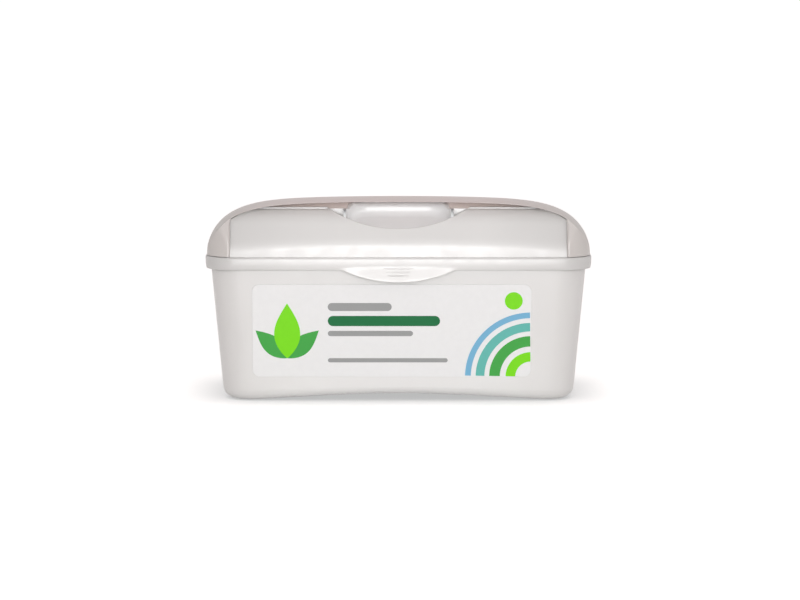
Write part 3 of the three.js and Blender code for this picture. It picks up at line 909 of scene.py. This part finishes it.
# Leaf between two arcs, from its foot along a direction
def leaf(foot, length, width, degrees):
    shares = np.linspace(0, 1, 25)
    swell = [0.5 * width * math.sin(math.pi * s ** 0.85) for s in shares]
    angle = math.radians(degrees)
    along = np.array((math.cos(angle), math.sin(angle)))
    aside = np.array((-along[1], along[0]))
    foot = np.array(foot)
    left = [foot + length * s * along + w * aside for s, w in zip(shares, swell)]
    right = [foot + length * s * along - w * aside for s, w in zip(shares, swell)]
    return left + right[-2:0:-1]


# Quarter ring round a corner of the label
def ripple(centre, inner, outer):
    turns = np.radians(np.linspace(RIPPLE_START, RIPPLE_END, 41))
    far = [(centre[0] + outer * math.cos(t), centre[1] + outer * math.sin(t)) for t in turns]
    near = [(centre[0] + inner * math.cos(t), centre[1] + inner * math.sin(t)) for t in turns[::-1]]
    return printed(far + near)


# Round dot on the label
def dot(centre, radius):
    turns = np.linspace(0, 2 * math.pi, 49)[:-1]
    return printed([(centre[0] + radius * math.cos(t), centre[1] + radius * math.sin(t)) for t in turns])


# Film with rounded corners and a thin edge
def film_shell(width, height):
    rings = []
    turns = np.linspace(0, math.pi / 2, 11)
    x = width / 2 - LABEL_RADIUS
    y = height / 2 - LABEL_RADIUS
    for lift, inset in ((FILM_SEAT - GAP, 0), (FILM_THICKNESS - 0.08, 0), (FILM_THICKNESS, 0.1)):
        radius = LABEL_RADIUS - inset
        line = []
        for quarter, (sx, sy) in enumerate(((1, 1), (-1, 1), (-1, -1), (1, -1))):
            for t in turns + quarter * math.pi / 2:
                line.append(on_label(sx * x + radius * math.cos(t), sy * y + radius * math.sin(t), lift))
        rings.append(np.array(line))
    return capped_loft(rings)


# Label film with a plain generic print: leaves, bars, quarter rings and a dot
def make_label(materials):
    flat = tub_half(LABEL_LOW, LID_WIDTH) - CORNER_RADIUS
    width = 2 * flat - LABEL_LEFT - LABEL_RIGHT
    height = LABEL_HIGH - LABEL_LOW
    white, lime, green, dark, teal, blue, grey = range(len(INKS))
    shells = [(film_shell(width, height), white)]
    # Length, breadth, direction, layer and ink of each leaf
    leaves = ((29, 13.5, 90, 3, lime), (22, 9.5, 138, 1, green), (22, 9.5, 42, 2, green))
    for length, breadth, degrees, layer, ink in leaves:
        shells.append((printed(leaf(LEAF_FOOT, length, breadth, degrees), layer), ink))
    # Height of its middle, length, breadth and ink of each bar
    bars = ((12.6, 33, 4.2, grey), (5.2, 58, 5.4, dark), (-1.4, 44, 2.8, grey), (-15.6, 62, 2.2, grey))
    for middle, length, breadth, ink in bars:
        shells.append((bar(BAR_LEFT, middle, length, breadth), ink))
    corner = (width / 2, -height / 2)
    # Inner and outer radius and ink of each quarter ring
    rings = ((8, 13, lime), (16, 21.5, green), (24, 28.5, teal), (31, 34, blue))
    for inner, outer, ink in rings:
        shells.append((ripple(corner, inner, outer), ink))
    shells.append((dot((width / 2 - DOT_INSET, height / 2 - DOT_DROP), DOT_RADIUS), lime))
    return piece("front_label", shells, materials, "tub")


# New material with its node tree and its shader
def new_material(name):
    material = bpy.data.materials.new(name)
    material.use_nodes = True
    tree = material.node_tree
    return material, tree, tree.nodes["Principled BSDF"]


# Socket fed by another node's output, or set to a plain value
def feed(tree, socket, value):
    if isinstance(value, bpy.types.NodeSocket):
        tree.links.new(value, socket)
    else:
        socket.default_value = value


# Noise in the object's own frame
def noise(tree, scale, detail, roughness=0.5):
    place = tree.nodes.new("ShaderNodeTexCoord")
    texture = tree.nodes.new("ShaderNodeTexNoise")
    texture.inputs["Scale"].default_value = scale
    texture.inputs["Detail"].default_value = detail
    texture.inputs["Roughness"].default_value = roughness
    tree.links.new(place.outputs["Object"], texture.inputs["Vector"])
    return texture.outputs["Fac"]


# Colour ramp between two colours over a range of a value
def ramp(tree, value, span, first, second):
    made = tree.nodes.new("ShaderNodeValToRGB")
    for stop, place, colour in zip(made.color_ramp.elements, span, (first, second)):
        stop.position = place
        stop.color = (*colour, 1)
    tree.links.new(value, made.inputs["Fac"])
    return made.outputs["Color"]


# Value carried from one range to another, evenly or with a soft start and end
def remap(tree, value, old, new, kind="LINEAR"):
    made = tree.nodes.new("ShaderNodeMapRange")
    made.interpolation_type = kind
    for name, number in zip(("From Min", "From Max", "To Min", "To Max"), (*old, *new)):
        made.inputs[name].default_value = number
    tree.links.new(value, made.inputs["Value"])
    return made.outputs["Result"]


# Bump from a height, added on an earlier bump
def bump(tree, height, strength, distance, before=None):
    made = tree.nodes.new("ShaderNodeBump")
    made.inputs["Strength"].default_value = strength
    made.inputs["Distance"].default_value = distance
    tree.links.new(height, made.inputs["Height"])
    if before is not None:
        tree.links.new(before, made.inputs["Normal"])
    return made.outputs["Normal"]


# Result of a calculation on one value and, where given, a second
def calculated(tree, operation, first, second=None):
    made = tree.nodes.new("ShaderNodeMath")
    made.operation = operation
    tree.links.new(first, made.inputs[0])
    if second is not None:
        feed(tree, made.inputs[1], second)
    return made.outputs[0]


# Place of the shaded point, with one output for each axis
def axes(tree, kind):
    place = tree.nodes.new("ShaderNodeTexCoord")
    parts = tree.nodes.new("ShaderNodeSeparateXYZ")
    tree.links.new(place.outputs[kind], parts.inputs[0])
    return parts.outputs


# Mix of two colours by a share
def mixed(tree, share, first, second):
    mix = tree.nodes.new("ShaderNodeMix")
    mix.data_type = "RGBA"
    tree.links.new(share, mix.inputs["Factor"])
    tree.links.new(first, mix.inputs["A"])
    feed(tree, mix.inputs["B"], second)
    return mix.outputs["Result"]


# Colour that gives way to another between two distances along an axis, in millimetres
def shift_along(tree, axis, near, far, colour, other):
    distance = calculated(tree, "ABSOLUTE", axes(tree, "Object")[axis])
    span = (MILLIMETRE * near, MILLIMETRE * far)
    share = remap(tree, distance, span, (0, 1), "SMOOTHSTEP")
    return mixed(tree, share, colour, (*other, 1))


# Satin translucent polypropylene with flow clouds and a fine grain, with painted shade greying its ends and
# painted light paling its foot
def plastic_material(name, deep, pale, end, foot):
    material, tree, shader = new_material(name)
    colour = ramp(tree, noise(tree, scale=24, detail=3), CLOUDS, deep, pale)
    # Painted light: the colour pales towards the foot, in place of more light on the lower wall
    colour = shift_along(tree, "Z", near=45, far=8, colour=colour, other=foot)
    # Painted shade: the colour greys towards the ends, in place of the shade that falls there
    colour = shift_along(tree, "X", near=0.2 * LID_WIDTH, far=0.5 * LID_WIDTH, colour=colour, other=end)
    roughness = remap(tree, noise(tree, scale=160, detail=4), CLOUDS, (0.29, 0.37))
    waves = bump(tree, noise(tree, scale=45, detail=2), strength=0.06, distance=0.0004)
    grain = bump(tree, noise(tree, scale=2600, detail=2), strength=0.05, distance=0.0001, before=waves)
    tree.links.new(colour, shader.inputs["Base Color"])
    tree.links.new(roughness, shader.inputs["Roughness"])
    tree.links.new(grain, shader.inputs["Normal"])
    shader.inputs["IOR"].default_value = 1.49
    return material


# Soft damp nonwoven with fine fibres
def wipe_material():
    material, tree, shader = new_material("damp_nonwoven")
    clouds = noise(tree, scale=60, detail=4)
    colour = ramp(tree, clouds, CLOUDS, (0.84, 0.84, 0.82), (0.90, 0.90, 0.88))
    roughness = remap(tree, noise(tree, scale=300, detail=2), CLOUDS, (0.75, 0.9))
    fibre = bump(tree, noise(tree, scale=1800, detail=6, roughness=0.7), strength=0.5, distance=0.0003)
    soft = bump(tree, noise(tree, scale=120, detail=3), strength=0.3, distance=0.001, before=fibre)
    tree.links.new(colour, shader.inputs["Base Color"])
    tree.links.new(roughness, shader.inputs["Roughness"])
    tree.links.new(soft, shader.inputs["Normal"])
    shader.inputs["Sheen Weight"].default_value = 0.25
    return material


# Printed film in one ink, with faint mottling
def film_material(name, colour):
    material, tree, shader = new_material(name)
    deep = tuple(0.985 * c for c in colour)
    inked = ramp(tree, noise(tree, scale=420, detail=3), (0.35, 0.65), deep, colour)
    roughness = remap(tree, noise(tree, scale=90, detail=2), CLOUDS, (0.4, 0.48))
    waves = bump(tree, noise(tree, scale=40, detail=1), strength=0.03, distance=0.0002)
    tree.links.new(inked, shader.inputs["Base Color"])
    tree.links.new(roughness, shader.inputs["Roughness"])
    tree.links.new(waves, shader.inputs["Normal"])
    shader.inputs["Specular IOR Level"].default_value = 0.15
    return material


# Mask that is 1 for what the camera sees, directly or in gloss and glass
def seen_mask(tree):
    rays = tree.nodes.new("ShaderNodeLightPath").outputs
    seen = rays["Is Camera Ray"]
    for kind in ("Is Glossy Ray", "Is Transmission Ray"):
        seen = calculated(tree, "MAXIMUM", seen, rays[kind])
    return seen


# Pale floor that shows white, shaded close to what stands on it
def floor_material():
    material, tree, shader = new_material("pale_floor")
    pale = ramp(tree, noise(tree, scale=3, detail=2), CLOUDS, (0.88, 0.88, 0.88), (0.90, 0.90, 0.90))
    near = tree.nodes.new("ShaderNodeAmbientOcclusion")
    near.samples = 16
    near.inputs["Distance"].default_value = SHADE_REACH
    tree.links.new(pale, near.inputs["Color"])
    seen = seen_mask(tree)
    tree.links.new(mixed(tree, seen, pale, near.outputs["Color"]), shader.inputs["Base Color"])
    shader.inputs["Roughness"].default_value = 0.9
    glow = tree.nodes.new("ShaderNodeEmission")
    tree.links.new(calculated(tree, "MULTIPLY", seen, FLOOR_GLOW), glow.inputs["Strength"])
    total = tree.nodes.new("ShaderNodeAddShader")
    tree.links.new(shader.outputs[0], total.inputs[0])
    tree.links.new(glow.outputs[0], total.inputs[1])
    tree.links.new(total.outputs[0], tree.nodes["Material Output"].inputs["Surface"])
    return material


# Wide floor just under the feet
def make_floor():
    bpy.ops.mesh.primitive_plane_add(size=FLOOR_SIZE, location=(0, 0, -FLOOR_DROP))
    floor = bpy.context.object
    floor.name = "floor"
    floor.data.materials.append(floor_material())


# Soft room light: bright along the horizon, dimmer at the sides and overhead, white where it is seen
def make_world():
    world = bpy.data.worlds.new("studio")
    bpy.context.scene.world = world
    world.use_nodes = True
    tree = world.node_tree
    tree.nodes.clear()
    place = axes(tree, "Generated")
    sky = ramp(tree, place["Z"], (0.0, 0.6), (1.0, 0.99, 0.98), (0.65, 0.60, 0.59))
    aside = calculated(tree, "ABSOLUTE", place["X"])
    dim = remap(tree, aside, (0.5, 0.9), (1.0, 0.45))
    room = tree.nodes.new("ShaderNodeBackground")
    tree.links.new(sky, room.inputs["Color"])
    tree.links.new(dim, room.inputs["Strength"])
    white = tree.nodes.new("ShaderNodeBackground")
    mix = tree.nodes.new("ShaderNodeMixShader")
    tree.links.new(seen_mask(tree), mix.inputs[0])
    tree.links.new(room.outputs[0], mix.inputs[1])
    tree.links.new(white.outputs[0], mix.inputs[2])
    out = tree.nodes.new("ShaderNodeOutputWorld")
    tree.links.new(mix.outputs[0], out.inputs["Surface"])


# Soft box aimed at a point, either for even light or for a sheen alone
def soft_box(name, place, aim, size, power, diffuse=True):
    light = bpy.data.lights.new(name, "AREA")
    light.shape = "RECTANGLE"
    light.size = size[0]
    light.size_y = size[1]
    light.energy = power
    lamp = bpy.data.objects.new(name, light)
    lamp.location = place
    lamp.rotation_euler = (Vector(aim) - Vector(place)).to_track_quat("-Z", "Y").to_euler()
    lamp.visible_camera = False
    lamp.visible_diffuse = diffuse
    lamp.visible_glossy = not diffuse
    bpy.context.scene.collection.objects.link(lamp)


# Camera in front of the tub, looking a little down
def make_camera():
    data = bpy.data.cameras.new("camera")
    data.lens = CAMERA_LENS
    data.clip_end = CAMERA_REACH
    camera = bpy.data.objects.new("camera", data)
    back = Vector((0, -math.cos(CAMERA_RISE), math.sin(CAMERA_RISE)))
    camera.location = Vector(CAMERA_AIM) + CAMERA_DISTANCE * back
    camera.rotation_euler = (-back).to_track_quat("-Z", "Y").to_euler()
    bpy.context.scene.collection.objects.link(camera)
    bpy.context.scene.camera = camera


make_camera()
make_world()
make_floor()
soft_box("front_box", place=(0.25, -2.1, 0.58), aim=(0, 0, 0.06), size=(2.2, 0.7), power=13)
soft_box("low_strip", place=(0, -0.75, 0.03), aim=(0, 0, 0.07), size=(0.3, 0.09), power=3.7, diffuse=False)

plastics = {name: plastic_material(name + "_plastic", *colours) for name, colours in PLASTICS.items()}
make_tub([plastics["tub"]])
make_lid([plastics["lid"], plastics["sill"], plastics["pocket"]])
make_cover([plastics["cover"]])
make_stack([wipe_material()])
make_label([film_material(name, colour) for name, colour in INKS])

bpy.context.scene.view_settings.view_transform = "Standard"
